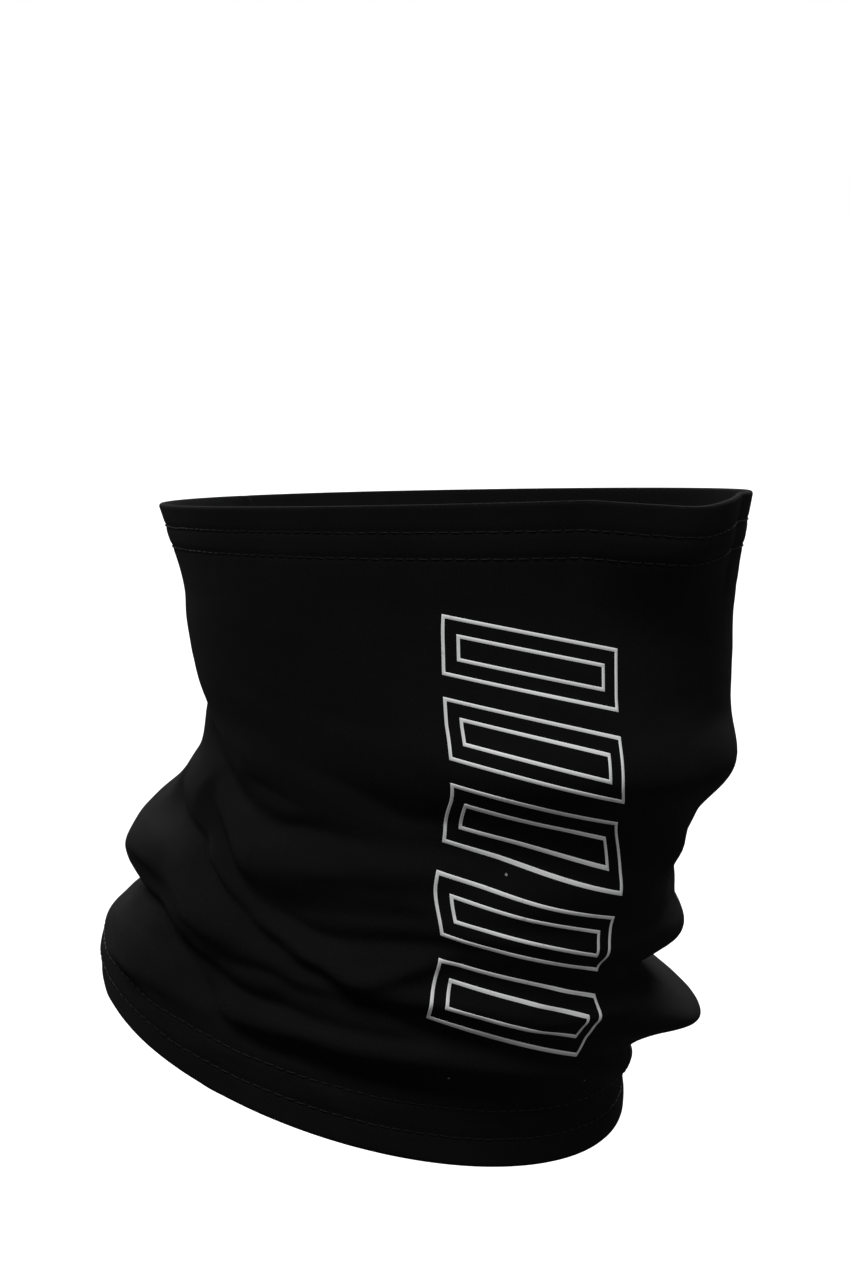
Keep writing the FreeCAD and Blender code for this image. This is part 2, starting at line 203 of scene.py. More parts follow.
class StitchSettings(bpy.types.PropertyGroup):
    """Sewing thread."""
    pitch: length_setting("Pitch", "Distance from stitch to stitch", 3.8 * MM)
    length: length_setting("Length", "Length of one stitch", 3.0 * MM)
    thread: length_setting("Thread radius", "Radius of the thread", 0.21 * MM)
    first_row: length_setting("First row", "Needle row nearer the edge", 7.0 * MM)
    second_row: length_setting("Second row", "Needle row further from the edge", 14.2 * MM)
    colour: colour_setting("Colour", "Colour of the thread", (0.006, 0.006, 0.0065))


class PrintSettings(bpy.types.PropertyGroup):
    """Outline graphic of transfer film."""
    line: length_setting("Line", "Width of a printed line", 1.0 * MM)
    film: length_setting("Film", "Thickness of the film", 0.16 * MM)
    width: length_setting("Width", "Width of the column", 56 * MM)
    slant: length_setting("Slant", "Rise from one end of a bar to the other", 9 * MM)
    bars: bpy.props.IntProperty(name="Bars", description="Bars in the column", default=5)
    bar_height: length_setting("Bar height", "Height of one bar", 16.5 * MM)
    bar_pitch: length_setting("Bar pitch", "Distance from bar to bar", 22.5 * MM)
    first_bar: length_setting("First bar", "Height of the lowest bar", 31.5 * MM)
    inset: length_setting("Inset", "From a bar's outer line to its inner line", 4.6 * MM)
    colour: colour_setting("Colour", "Colour of the film", (0.72, 0.725, 0.735))


class LabelSettings(bpy.types.PropertyGroup):
    """Care label inside the back seam."""
    along: length_setting("Along the seam", "Length of its sewn edge", 22 * MM)
    page: length_setting("Page", "From the sewn edge to the fold", 30 * MM)
    colour: colour_setting("Colour", "Colour of the ribbon", (0.02, 0.02, 0.022))


class StageSettings(bpy.types.PropertyGroup):
    """Floor, lights and camera."""
    floor_drop: length_setting("Floor drop", "Depth of the floor under the gaiter", 0.30)
    colour: colour_setting("Floor", "Colour of the floor", (0.95, 0.95, 0.95))
    surround: bpy.props.FloatProperty(
        name="Surround", description="Strength of the light from all round", default=0.11)
    azimuth: turn_setting("Azimuth", "Camera's place round the wearer", math.radians(-42))
    elevation: turn_setting("Elevation", "Camera's height as an angle", math.radians(4.2))
    distance: length_setting("Distance", "From the camera to what it looks at", 2.2)
    lens: bpy.props.FloatProperty(
        name="Lens", description="Focal length", default=198.8, unit="CAMERA")


# The shape of the cloth --------------------------------------------------------------------

def smooth_value(points, place, column):
    """Values in one column of a table at places between its first entries, on a smooth curve."""
    points = np.asarray(points, float)
    last = len(points) - 1
    step = np.clip(np.searchsorted(points[:, 0], place, side="left") - 1, 0, last - 1)
    before, here = points[np.maximum(step - 1, 0)], points[step]
    there, after = points[step + 1], points[np.minimum(step + 2, last)]
    span = there[..., 0] - here[..., 0]
    share = (place - here[..., 0]) / span
    slope_here, slope_there = [
        (high[..., column] - low[..., column]) / (high[..., 0] - low[..., 0]) * span
        for low, high in ((before, there), (here, after))]
    return ((2 * share ** 3 - 3 * share ** 2 + 1) * here[..., column]
            + (share ** 3 - 2 * share ** 2 + share) * slope_here
            + (3 * share ** 2 - 2 * share ** 3) * there[..., column]
            + (share ** 3 - share ** 2) * slope_there)


def fold_relief(angle, level):
    """Height of all rolls and creases together at angles and levels."""
    total = np.zeros_like(level)
    folds = [(1, 2, fold) for fold in ROLLS.values()]
    folds += [(-1, CREASE_SHARPNESS, fold) for fold in CREASES.values()]
    for way, power, (half_width, path) in folds:
        points = np.array(sorted(path), float)
        for turn in (-360, 0, 360):
            place = angle + turn
            inside = (place > points[0, 0]) & (place < points[-1, 0])
            place = np.clip(place, points[0, 0], points[-1, 0])
            across = np.abs(level - smooth_value(points, place, 1)) / half_width
            total += inside * way * smooth_value(points, place, 2) * np.exp(-across ** power)
    return total


# Zones of small wrinkles: count, levels, share of the usual height, and slope of the wrinkles
WRINKLE_ZONES = ((150, 12, 104, 1.0, 0.30), (46, 104, 150, 0.45, 0.35), (26, 150, 184, 0.25, 0.05))
WRINKLE_LENGTH = (16.0, 46.0)
WRINKLE_HALF_WIDTH = (2.4, 5.0)
WRINKLE_HEIGHT = (0.35, 1.15)
WRINKLE_LEAN = 0.12      # usual difference of a wrinkle's slope from its zone's
WRINKLE_BEND = 0.004     # usual curving of a wrinkle, per millimetre
COLUMN_RADIUS = 84.0     # turns an angle into a distance round the tube


def small_wrinkles(angle, level, seed):
    """Height of many short, shallow folds that lie along the big ones."""
    draw = np.random.default_rng(seed)
    total = np.zeros_like(level)
    for count, low, high, share, slope in WRINKLE_ZONES:
        for _ in range(count):
            middle = draw.uniform(-180, 180)
            height = draw.uniform(low, high)
            length = draw.uniform(*WRINKLE_LENGTH)
            half_width = draw.uniform(*WRINKLE_HALF_WIDTH)
            size = share * draw.uniform(*WRINKLE_HEIGHT) * draw.choice((-1, 1))
            lean = slope * math.sin(math.radians(middle)) + draw.normal(0, WRINKLE_LEAN)
            bend = draw.normal(0, WRINKLE_BEND)
            along = ((angle - middle + 180) % 360 - 180) * math.radians(COLUMN_RADIUS)
            across = level - height - lean * along - bend * along ** 2
            total += size * np.exp(-(along / length) ** 2 - (across / half_width) ** 2)
    return total


# Depth or height of a shape along the hem, and its half width
ROW_GROOVE = (0.26, 0.8)
HEM_SWELL = (0.22, 2.6)
SEAM_GROOVE = (0.5, 0.55)     # its half width is in degrees
STIFF_RELIEF = 1.0            # a roll that stands out less than this doesn't droop


def stitch_grooves(height, settings):
    """Depth by which the needle rows and the hem's raw edge shape the cloth."""
    rows = (settings.first_row / MM, settings.second_row / MM)
    total = np.zeros_like(height)
    for row in rows:
        for place in (row, TUBE_HEIGHT - row):
            total -= ROW_GROOVE[0] * np.exp(-((height - place) / ROW_GROOVE[1]) ** 2)
    between = sum(rows) / 2
    for place in (between, TUBE_HEIGHT - between):
        total += HEM_SWELL[0] * np.exp(-((height - place) / HEM_SWELL[1]) ** 4)
    return total


def cloth_point(angle, height):
    """Points on the cloth's outer face, in millimetres."""
    settings = bpy.context.scene.gaiter_cloth
    angle, height = np.broadcast_arrays(np.asarray(angle, float), np.asarray(height, float))
    turn = np.radians(angle)
    centre, tilt, width, front, back = [
        smooth_value(SECTIONS, height, column) for column in range(1, 6)]
    reach = np.where(np.cos(turn) > 0, front, back)
    across = -width * np.sin(turn)
    along = -reach * np.cos(turn)
    level = BOTTOM_EDGE_LEVEL + height + tilt * along
    out_x, out_y = -np.sin(turn) / width, -np.cos(turn) / reach
    length = np.hypot(out_x, out_y)
    relief = fold_relief(angle, level)
    relief = relief + settings.crumple * small_wrinkles(angle, level, settings.seed)
    relief = relief + stitch_grooves(height, bpy.context.scene.gaiter_stitches)
    seam = (angle - BACK + 180) % 360 - 180
    relief = relief - SEAM_GROOVE[0] * np.exp(-(seam / SEAM_GROOVE[1]) ** 2)
    hang = settings.droop * np.maximum(relief - STIFF_RELIEF, 0)
    return np.stack([across + out_x / length * relief,
                     centre + along + out_y / length * relief,
                     level - hang], axis=-1)


def unit(vectors):
    """Vectors of length 1."""
    return vectors / np.linalg.norm(vectors, axis=-1, keepdims=True)


def cloth_frame(angle, height):
    """Point, outward normal, direction round the tube and direction up it."""
    angle, height = np.broadcast_arrays(np.asarray(angle, float), np.asarray(height, float))
    round_step, up_step = 0.25, 0.35
    round_way = unit(cloth_point(angle + round_step, height)
                     - cloth_point(angle - round_step, height))
    up_way = unit(cloth_point(angle, height + up_step) - cloth_point(angle, height - up_step))
    return cloth_point(angle, height), unit(np.cross(up_way, round_way)), round_way, up_way


def cloth_place(angle, height, lift):
    """Points that stand a lift outside the cloth's outer face, or inside it if negative."""
    point, normal, _, _ = cloth_frame(angle, height)
    return point + normal * np.asarray(lift)[..., None]


def even_angles(height, pitch):
    """Angles that divide one level of the cloth into equal steps close to a pitch."""
    fine = np.linspace(BACK, BACK + 360, 2001)
    ring = cloth_point(fine, np.full_like(fine, height))
    travel = np.concatenate([[0], np.cumsum(np.linalg.norm(np.diff(ring, axis=0), axis=1))])
    count = int(round(travel[-1] / pitch))
    return np.interp(np.arange(count + 1) * travel[-1] / count, travel, fine)


# Meshes ------------------------------------------------------------------------------------

def new_piece(name, points, faces, material=None):
    """Mesh object from points in millimetres and faces."""
    mesh = bpy.data.meshes.new(name)
    mesh.from_pydata((np.asarray(points) * MM).tolist(), [], faces)
    mesh.validate()
    mesh.shade_smooth()
    if material:
        mesh.materials.append(material)
    piece = bpy.data.objects.new(name, mesh)
    bpy.context.scene.collection.objects.link(piece)
    return piece


def sheet_faces(rows, columns, closed_columns=True, closed_rows=False):
    """Quads of a grid of rows of points, with the row's next neighbour on the outward side."""
    faces = []
    for row in range(rows if closed_rows else rows - 1):
        for column in range(columns if closed_columns else columns - 1):
            here, above = row * columns, (row + 1) % rows * columns
            following = (column + 1) % columns
            faces.append((here + column, above + column, above + following, here + following))
    return faces


def set_uv(piece, columns, around, up):
    """UV map in metres for a grid piece: around has one more value than there are columns."""
    layer = piece.data.uv_layers.new(name="UVMap")
    values = np.zeros((len(piece.data.loops), 2))
    for polygon in piece.data.polygons:
        corners = [divmod(index, columns) for index in polygon.vertices]
        wraps = {0, columns - 1} <= {column for _, column in corners}
        for loop, (row, column) in zip(polygon.loop_indices, corners):
            values[loop] = (around[columns if wraps and column == 0 else column], up[row])
    layer.data.foreach_set("uv", values.ravel())


def bake(piece):
    """Turn a piece and its modifiers into a plain mesh."""
    graph = bpy.context.evaluated_depsgraph_get()
    mesh = bpy.data.meshes.new_from_object(piece.evaluated_get(graph))
    piece.modifiers.clear()
    piece.data = mesh


def thicken(piece, thickness):
    """Give a sheet its thickness, half on each side."""
    shell = piece.modifiers.new("thickness", "SOLIDIFY")
    shell.thickness = thickness
    shell.offset = 0
    bake(piece)


def follow_cloth(piece):
    """The piece is on the cloth; its placement is baked into its mesh."""
    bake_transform(piece)


# Materials ---------------------------------------------------------------------------------

def shader_group(name, inputs, outputs):
    """New shader node group with its sockets."""
    group = bpy.data.node_groups.new(name, "ShaderNodeTree")
    for socket, kind, default in inputs:
        made = group.interface.new_socket(socket, in_out="INPUT", socket_type=kind)
        if default is not None:
            made.default_value = default
    for socket, kind in outputs:
        group.interface.new_socket(socket, in_out="OUTPUT", socket_type=kind)
    return group, group.nodes.new("NodeGroupInput"), group.nodes.new("NodeGroupOutput")


class Wiring:
    """Small helper that places nodes in a tree and links them."""

    def __init__(self, tree):
        self.tree = tree

    def link(self, source, target):
        """Link an output to an input, or set the input to a plain value."""
        if isinstance(source, bpy.types.NodeSocket):
            self.tree.links.new(source, target)
        else:
            target.default_value = source

    def node(self, kind, **settings):
        """Node of a kind with its settings."""
        made = self.tree.nodes.new(kind)
        for key, value in settings.items():
            setattr(made, key, value)
        return made

    def math(self, operation, *values):
        """Result of a Math node."""
        made = self.node("ShaderNodeMath", operation=operation)
        for value, socket in zip(values, made.inputs):
            self.link(value, socket)
        return made.outputs[0]

    def mix(self, factor, first, second):
        """Result of a colour Mix node."""
        made = self.node("ShaderNodeMix", data_type="RGBA")
        self.link(factor, made.inputs["Factor"])
        self.link(first, made.inputs[6])
        self.link(second, made.inputs[7])
        return made.outputs[2]

    def noise(self, vector, scale, detail=2.0, roughness=0.5):
        """Value of a Noise Texture."""
        made = self.node("ShaderNodeTexNoise")
        self.link(vector, made.inputs["Vector"])
        self.link(scale, made.inputs["Scale"])
        self.link(detail, made.inputs["Detail"])
        self.link(roughness, made.inputs["Roughness"])
        return made.outputs["Fac"]

    def ramp(self, value, low, high, to_low=0.0, to_high=1.0):
        """Value spread from one range to another and clamped."""
        made = self.node("ShaderNodeMapRange", clamp=True)
        for item, socket in zip((value, low, high, to_low, to_high), made.inputs):
            self.link(item, socket)
        return made.outputs[0]


def jersey_group():
    """Face of a fine jersey: columns of small V stitches, from a UV map in metres."""
    group, inside, outside = shader_group(
        "fine jersey",
        (("UV", "NodeSocketVector", None), ("Wales per metre", "NodeSocketFloat", 1450.0),
         ("Courses per metre", "NodeSocketFloat", 1900.0), ("Unevenness", "NodeSocketFloat", 0.25)),
        (("Height", "NodeSocketFloat"), ("Gap shade", "NodeSocketFloat")))
    wire = Wiring(group)
    parts = wire.node("ShaderNodeSeparateXYZ")
    wire.link(inside.outputs["UV"], parts.inputs[0])
    wander = wire.noise(inside.outputs["UV"], 260.0, 2.0)
    wander = wire.math("MULTIPLY", wire.math("SUBTRACT", wander, 0.5), inside.outputs["Unevenness"])
    wale = wire.math("ADD", wire.math(
        "MULTIPLY", parts.outputs[0], inside.outputs["Wales per metre"]), wander)
    course = wire.math("ADD", wire.math(
        "MULTIPLY", parts.outputs[1], inside.outputs["Courses per metre"]), wander)
    from_middle = wire.math("ABSOLUTE", wire.math(
        "SUBTRACT", wire.math("MULTIPLY", wire.math("FRACT", wale), 2.0), 1.0))
    leg = wire.math("FRACT", wire.math(
        "SUBTRACT", course, wire.math("MULTIPLY", from_middle, 0.85)))
    leg = wire.math("SINE", wire.math("MULTIPLY", leg, math.pi))
    column = wire.math("SINE", wire.math("MULTIPLY", wire.math(
        "PINGPONG", wire.math("MULTIPLY", wale, 2.0), 1.0), math.pi / 2))
    height = wire.math("MULTIPLY", wire.math("POWER", leg, 0.6),
                       wire.ramp(column, 0.0, 0.7, 0.25, 1.0))
    wire.link(height, outside.inputs["Height"])
    # Gap shade is painted shade: it is 1 where the loops are low, and the material darkens the yarn
    # there.
    wire.link(wire.ramp(height, 0.0, 0.45, 1.0, 0.0), outside.inputs["Gap shade"])
    return group


def fibre_group():
    """Loose fibre ends, lint and slow colour change on wool cloth, from Object coordinates."""
    group, inside, outside = shader_group(
        "wool fibre",
        (("Coordinates", "NodeSocketVector", None), ("Fuzz scale", "NodeSocketFloat", 2400.0),
         ("Lint amount", "NodeSocketFloat", 0.5)),
        (("Fuzz", "NodeSocketFloat"), ("Lint", "NodeSocketFloat"), ("Fade", "NodeSocketFloat")))
    wire = Wiring(group)
    where = inside.outputs["Coordinates"]
    fuzz = wire.noise(where, inside.outputs["Fuzz scale"], 3.0, 0.65)
    wire.link(wire.ramp(fuzz, 0.35, 0.72), outside.inputs["Fuzz"])
    cells = wire.node("ShaderNodeTexVoronoi", feature="F1")
    wire.link(where, cells.inputs["Vector"])
    wire.link(82.0, cells.inputs["Scale"])
    cell_value = wire.node("ShaderNodeSeparateColor")
    wire.link(cells.outputs["Color"], cell_value.inputs[0])
    chosen = wire.math("GREATER_THAN", cell_value.outputs[0], wire.math(
        "SUBTRACT", 1.0, wire.math("MULTIPLY", inside.outputs["Lint amount"], 0.12)))
    stretched = wire.noise(where, 1500.0, 1.0)
    speck = wire.math("LESS_THAN", wire.math(
        "ADD", cells.outputs["Distance"], wire.math("MULTIPLY", stretched, 0.05)), 0.058)
    wire.link(wire.math("MULTIPLY", chosen, speck), outside.inputs["Lint"])
    slow = wire.noise(where, 26.0, 4.0, 0.6)
    wire.link(wire.ramp(slow, 0.3, 0.7), outside.inputs["Fade"])
    return group


def new_material(name):
    """Material with its Principled BSDF and the wiring helper for its tree."""
    material = bpy.data.materials.new(name)
    material.use_nodes = True
    shader = material.node_tree.nodes["Principled BSDF"]
    return material, shader, Wiring(material.node_tree)


def use_group(wire, name, make, links):
    """Place a shared group in a material, made on first use, and feed its inputs."""
    group = bpy.data.node_groups.get(name) or make()
    placed = wire.node("ShaderNodeGroup", node_tree=group)
    for socket, value in links.items():
        wire.link(value, placed.inputs[socket])
    return placed


def bump(wire, height, strength, distance, shader):
    """Feed a shader's Normal from a Bump node."""
    made = wire.node("ShaderNodeBump")
    made.inputs["Strength"].default_value = strength
    made.inputs["Distance"].default_value = distance
    wire.link(height, made.inputs["Height"])
    wire.link(made.outputs["Normal"], shader.inputs["Normal"])


def set_finish(shader, **values):
    """Set a shader's own sockets, named with underscores for spaces."""
    for name, value in values.items():
        shader.inputs[name.replace("_", " ")].default_value = value


def coordinates(wire):
    """Object coordinates and the UV map of the piece."""
    return (wire.node("ShaderNodeTexCoord").outputs["Object"],
            wire.node("ShaderNodeUVMap", uv_map="UVMap").outputs[0])


def scaled(colour, factor):
    """Colour times a factor, with alpha."""
    return (*[min(channel * factor, 1.0) for channel in colour], 1.0)


def knit_material():
    """Matt black fine jersey."""
    colour = bpy.context.scene.gaiter_cloth.colour
    material, shader, wire = new_material("black merino jersey")
    where, uv = coordinates(wire)
    jersey = use_group(wire, "fine jersey", jersey_group, {"UV": uv})
    fibre = use_group(wire, "wool fibre", fibre_group, {"Coordinates": where})
    base = wire.mix(fibre.outputs["Fade"], scaled(colour, 0.8), scaled(colour, 1.2))
    # Painted shade: the gaps between the knit's loops are darkened to 0.35 of the yarn colour.
    base = wire.mix(jersey.outputs["Gap shade"], base, scaled(colour, 0.35))
    base = wire.mix(wire.math("MULTIPLY", fibre.outputs["Fuzz"], 0.35), base, scaled(colour, 2.2))
    base = wire.mix(fibre.outputs["Lint"], base, (0.32, 0.31, 0.30, 1))
    wire.link(base, shader.inputs["Base Color"])
    wire.link(wire.ramp(fibre.outputs["Fuzz"], 0, 1, 0.78, 0.92), shader.inputs["Roughness"])
    height = wire.math("ADD", jersey.outputs["Height"],
                       wire.math("MULTIPLY", fibre.outputs["Fuzz"], 0.3))
    bump(wire, height, 0.6, 0.00022, shader)
    set_finish(shader, Specular_IOR_Level=0.035, Sheen_Weight=0.012, Sheen_Roughness=0.40,
               Sheen_Tint=(0.75, 0.77, 0.80, 1))
    return material


def thread_material():
    """Twisted polyester thread."""
    colour = bpy.context.scene.gaiter_stitches.colour
    material, shader, wire = new_material("black sewing thread")
    where = wire.node("ShaderNodeTexCoord").outputs["Object"]
    fibre = use_group(wire, "wool fibre", fibre_group,
                      {"Coordinates": where, "Fuzz scale": 5200.0, "Lint amount": 0.0})
    twist = wire.noise(where, 3600.0, 1.0)
    base = wire.mix(fibre.outputs["Fuzz"], scaled(colour, 0.7), scaled(colour, 1.6))
    wire.link(base, shader.inputs["Base Color"])
    wire.link(wire.ramp(twist, 0.3, 0.7, 0.42, 0.62), shader.inputs["Roughness"])
    bump(wire, twist, 0.5, 0.0001, shader)
    set_finish(shader, Specular_IOR_Level=0.10, Sheen_Weight=0.015)
    return material


def film_material():
    """Grey reflective transfer film, lighter along both edges of a line."""
    colour = bpy.context.scene.gaiter_print.colour
    material, shader, wire = new_material("grey transfer film")
    where, uv = coordinates(wire)
    parts = wire.node("ShaderNodeSeparateXYZ")
    wire.link(uv, parts.inputs[0])
    from_middle = wire.math("ABSOLUTE", wire.math("SUBTRACT", parts.outputs[1], 0.5))
    edge = wire.ramp(from_middle, 0.16, 0.40)
    beads = wire.noise(where, 9000.0, 1.0)
    wear = wire.noise(where, 320.0, 4.0, 0.7)
    base = wire.mix(edge, scaled(colour, 0.88), scaled(colour, 1.25))
    base = wire.mix(wire.ramp(beads, 0.35, 0.75), base, scaled(colour, 1.12))
    base = wire.mix(wire.ramp(wear, 0.60, 0.74), base, scaled(colour, 0.65))
    wire.link(base, shader.inputs["Base Color"])
    wire.link(wire.ramp(beads, 0.3, 0.7, 0.38, 0.58), shader.inputs["Roughness"])
    height = wire.math("ADD", beads, wire.math("MULTIPLY", wear, 0.8))
    bump(wire, height, 0.25, 0.00008, shader)
    return material


RIBBON_YARNS = (3200, 5200)      # warp and weft yarns per metre


def satin_material():
    """Woven satin ribbon of the care label."""
    colour = bpy.context.scene.gaiter_label.colour
    material, shader, wire = new_material("satin label ribbon")
    parts = wire.node("ShaderNodeSeparateXYZ")
    wire.link(coordinates(wire)[1], parts.inputs[0])
    across, along = [wire.math("SINE", wire.math("MULTIPLY", way, 2 * math.pi * per_metre))
                     for way, per_metre in zip(parts.outputs, RIBBON_YARNS)]
    weave = wire.math("MAXIMUM", across, along)
    # Painted shade and painted highlight: the ribbon is darkened in the weave's low places and
    # lightened on its crests, following the weave height that also drives the bump.
    base = wire.mix(wire.ramp(weave, -1, 1), scaled(colour, 0.7), scaled(colour, 1.6))
    wire.link(base, shader.inputs["Base Color"])
    wire.link(wire.ramp(weave, -1, 1, 0.42, 0.30), shader.inputs["Roughness"])
    bump(wire, weave, 0.35, 0.00005, shader)
    set_finish(shader, Anisotropic=0.4, Sheen_Weight=0.1)
    return material


def floor_material():
    """Plain matt studio floor."""
    material, shader, wire = new_material("studio floor")
    where = wire.node("ShaderNodeTexCoord").outputs["Object"]
    colour = bpy.context.scene.gaiter_stage.colour
    base = wire.mix(wire.noise(where, 3.0, 3.0), scaled(colour, 0.99), scaled(colour, 1.01))
    wire.link(base, shader.inputs["Base Color"])
    set_finish(shader, Roughness=0.9)
    return material


def shared_material(name, make):
    """Material by name, made on first use."""
    return bpy.data.materials.get(name) or make()


# Repeated stitches -------------------------------------------------------------------------

STRAND_STEPS = 6
STRAND_SIDES = 6
UNEVENNESS = 0.12        # how much shorter a strand may be, as a share of its length


def strand_tree():
    """Geometry Nodes tree that lays one short arched strand of thread along each point's span."""
    tree = bpy.data.node_groups.new("thread strands", "GeometryNodeTree")
    face = tree.interface
    face.new_socket("Points", in_out="INPUT", socket_type="NodeSocketGeometry")
    for name in ("Thread radius", "Arch", "Unevenness"):
        face.new_socket(name, in_out="INPUT", socket_type="NodeSocketFloat")
    face.new_socket("Seed", in_out="INPUT", socket_type="NodeSocketInt")
    face.new_socket("Material", in_out="INPUT", socket_type="NodeSocketMaterial")
    face.new_socket("Strands", in_out="OUTPUT", socket_type="NodeSocketGeometry")
    wire = Wiring(tree)
    given, result = wire.node("NodeGroupInput"), wire.node("NodeGroupOutput")

    arch = wire.node("ShaderNodeCombineXYZ")
    wire.link(given.outputs["Arch"], arch.inputs["Z"])
    curve = wire.node("GeometryNodeCurveQuadraticBezier")
    curve.inputs["Resolution"].default_value = STRAND_STEPS
    curve.inputs["Start"].default_value = (-0.5, 0, 0)
    curve.inputs["End"].default_value = (0.5, 0, 0)
    wire.link(arch.outputs[0], curve.inputs["Middle"])

    turn = wire.node("FunctionNodeAxesToRotation", primary_axis="X", secondary_axis="Z")
    length = wire.node("ShaderNodeVectorMath", operation="LENGTH")
    for attribute, sockets in (("span", (turn.inputs[0], length.inputs[0])),
                               ("outward", (turn.inputs[1],))):
        reader = wire.node("GeometryNodeInputNamedAttribute", data_type="FLOAT_VECTOR")
        reader.inputs["Name"].default_value = attribute
        for socket in sockets:
            wire.link(reader.outputs[0], socket)
    uneven = wire.node("FunctionNodeRandomValue", data_type="FLOAT")
    wire.link(wire.math("SUBTRACT", 1.0, given.outputs["Unevenness"]), uneven.inputs[2])
    uneven.inputs[3].default_value = 1.0
    wire.link(given.outputs["Seed"], uneven.inputs["Seed"])
    stretch = wire.math("MULTIPLY", length.outputs["Value"], uneven.outputs[1])
    scale = wire.node("ShaderNodeCombineXYZ")
    for value, socket in zip((stretch, 1.0, 1.0), scale.inputs):
        wire.link(value, socket)

    points = wire.node("GeometryNodeMeshToPoints")
    wire.link(given.outputs["Points"], points.inputs["Mesh"])
    placed = wire.node("GeometryNodeInstanceOnPoints")
    wire.link(points.outputs[0], placed.inputs["Points"])
    wire.link(curve.outputs[0], placed.inputs["Instance"])
    wire.link(turn.outputs[0], placed.inputs["Rotation"])
    wire.link(scale.outputs[0], placed.inputs["Scale"])
    real = wire.node("GeometryNodeRealizeInstances")
    wire.link(placed.outputs[0], real.inputs["Geometry"])
    profile = wire.node("GeometryNodeCurvePrimitiveCircle")
    profile.inputs["Resolution"].default_value = STRAND_SIDES
    wire.link(given.outputs["Thread radius"], profile.inputs["Radius"])
    tube = wire.node("GeometryNodeCurveToMesh")
    wire.link(real.outputs[0], tube.inputs["Curve"])
    wire.link(profile.outputs[0], tube.inputs["Profile Curve"])
    wire.link(True, tube.inputs["Fill Caps"])
    last = wire.node("GeometryNodeRealizeInstances")
    wire.link(tube.outputs[0], last.inputs["Geometry"])
    dressed = wire.node("GeometryNodeSetMaterial")
    wire.link(last.outputs[0], dressed.inputs["Geometry"])
    wire.link(given.outputs["Material"], dressed.inputs["Material"])
    wire.link(dressed.outputs[0], result.inputs["Strands"])
    return tree


def lay_strands(name, starts, ends, normals, arch, seed, material):
    """Strands of thread from starts to ends, in millimetres, as one plain mesh."""
    starts, ends, normals = (np.asarray(item, float) for item in (starts, ends, normals))
    piece = new_piece(name, (starts + ends) / 2, [])
    for attribute, values in (("span", (ends - starts) * MM), ("outward", normals)):
        layer = piece.data.attributes.new(attribute, "FLOAT_VECTOR", "POINT")
        layer.data.foreach_set("vector", values.ravel())
    tree = bpy.data.node_groups.get("thread strands") or strand_tree()
    modifier = piece.modifiers.new("strands", "NODES")
    modifier.node_group = tree
    values = {"Thread radius": bpy.context.scene.gaiter_stitches.thread, "Arch": arch * MM,
              "Unevenness": UNEVENNESS, "Seed": seed, "Material": material}
    for item in tree.interface.items_tree:
        if item.in_out == "INPUT" and item.name in values:
            modifier[item.identifier] = values[item.name]
    bake(piece)
    if len(piece.data.polygons) == 0:
        raise RuntimeError(name + " came out empty")
    piece.data.shade_smooth()
    return piece


def sew_on(piece, node):
    """The piece lies on the cloth, in place of its node, which is hidden."""
    follow_cloth(piece)
    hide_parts(node)


# Pieces ------------------------------------------------------------------------------------

COLUMNS = 264
SEAM_COLUMNS = (0.0, 0.35, 0.75, 1.2, 1.75)      # degrees from the seam
EVEN_FROM = 2.4                                  # where the evenly spaced columns begin
SECOND_PLY = 1.62        # depth of the middle of a hem's inner ply, in plies
TURN_STEPS = 7
HEM_ROWS = 11
ROW_CHANGES = (17, 100, 154.5)                   # heights at which the rows' spacing changes
ROW_SPACINGS = (0.72, 1.12, 1.95, 0.72)


def cloth_rows(settings):
    """Heights and depths, in millimetres, that the cloth's middle layer passes through.

    The cloth starts at the raw edge inside the bottom hem, goes down to the fold, up the outside
    of the tube, over the fold at the top, and ends at the raw edge inside the top hem.
    """
    ply = settings.ply / MM
    hem = settings.hem_depth / MM
    outer, inner = ply * 0.5, ply * SECOND_PLY
    middle, radius = (outer + inner) / 2, (inner - outer) / 2
    turning = np.linspace(0, math.pi, TURN_STEPS)[1:-1]
    inside = np.linspace(hem, radius, HEM_ROWS)
    rows = [(height, inner) for height in inside]
    rows += [(radius - radius * math.sin(step), middle + radius * math.cos(step))
             for step in turning]
    ends = (radius, *ROW_CHANGES, TUBE_HEIGHT - radius)
    for low, high, spacing in zip(ends, ends[1:], ROW_SPACINGS):
        count = int(round((high - low) / spacing))
        rows += [(low + (high - low) * step / count, outer) for step in range(count)]
    rows.append((TUBE_HEIGHT - radius, outer))
    rows += [(TUBE_HEIGHT - radius + radius * math.sin(step), middle - radius * math.cos(step))
             for step in turning]
    rows += [(TUBE_HEIGHT - height, inner) for height in inside[::-1]]
    return np.array(rows)


def column_angles():
    """Angles of the cloth's columns from the back seam round, closer together at the seam."""
    beside = np.array(SEAM_COLUMNS)
    rest = np.linspace(EVEN_FROM, 360 - EVEN_FROM, COLUMNS - 2 * len(beside) + 1)
    return BACK + np.concatenate([beside, rest, 360 - beside[:0:-1]])


